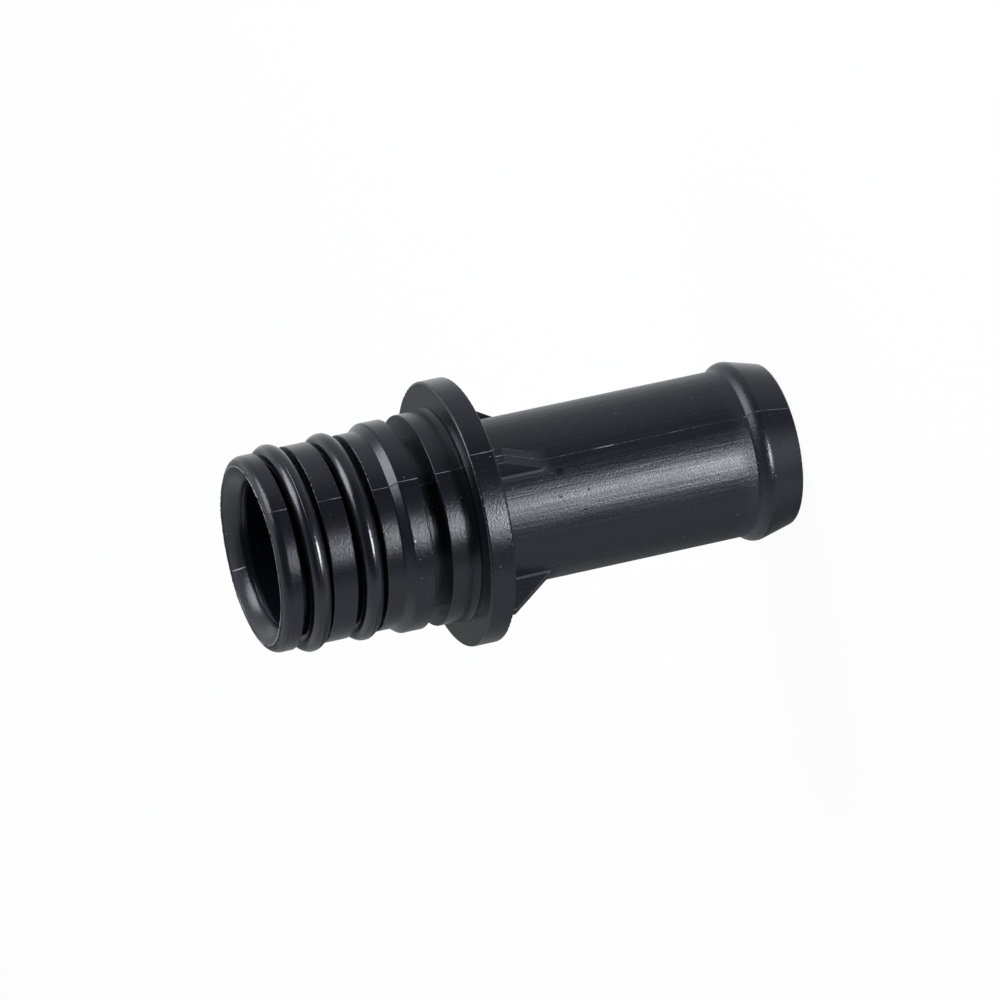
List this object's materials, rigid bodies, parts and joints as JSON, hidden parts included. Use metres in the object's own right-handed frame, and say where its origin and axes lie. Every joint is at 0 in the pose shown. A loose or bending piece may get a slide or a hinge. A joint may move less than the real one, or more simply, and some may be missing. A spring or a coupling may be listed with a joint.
{
  "type": "hose barb tail",
  "caption": "Straight hose tail with one barb, a gusseted flange, a groove for a retaining clip and a push-in spigot sealed by O-rings.",
  "frame": {"origin": "centre of the flat end face of the hose tube, on which the part stands", "axes": "+Z along the bore axis, from the hose end to the spigot; X lies in the mould's parting plane, through the two thick gussets"},
  "size_m": [0.0402, 0.0402, 0.083],
  "materials": {
    "moulded_plastic": "satin black moulded nylon with a fine grain",
    "seal_rubber": "smooth black nitrile rubber, slightly greased"
  },
  "bodies": {
    "root": {"tail_body": "moulded_plastic", "front_o_ring": "seal_rubber", "rear_o_ring": "seal_rubber"}
  },
  "joints": []
}
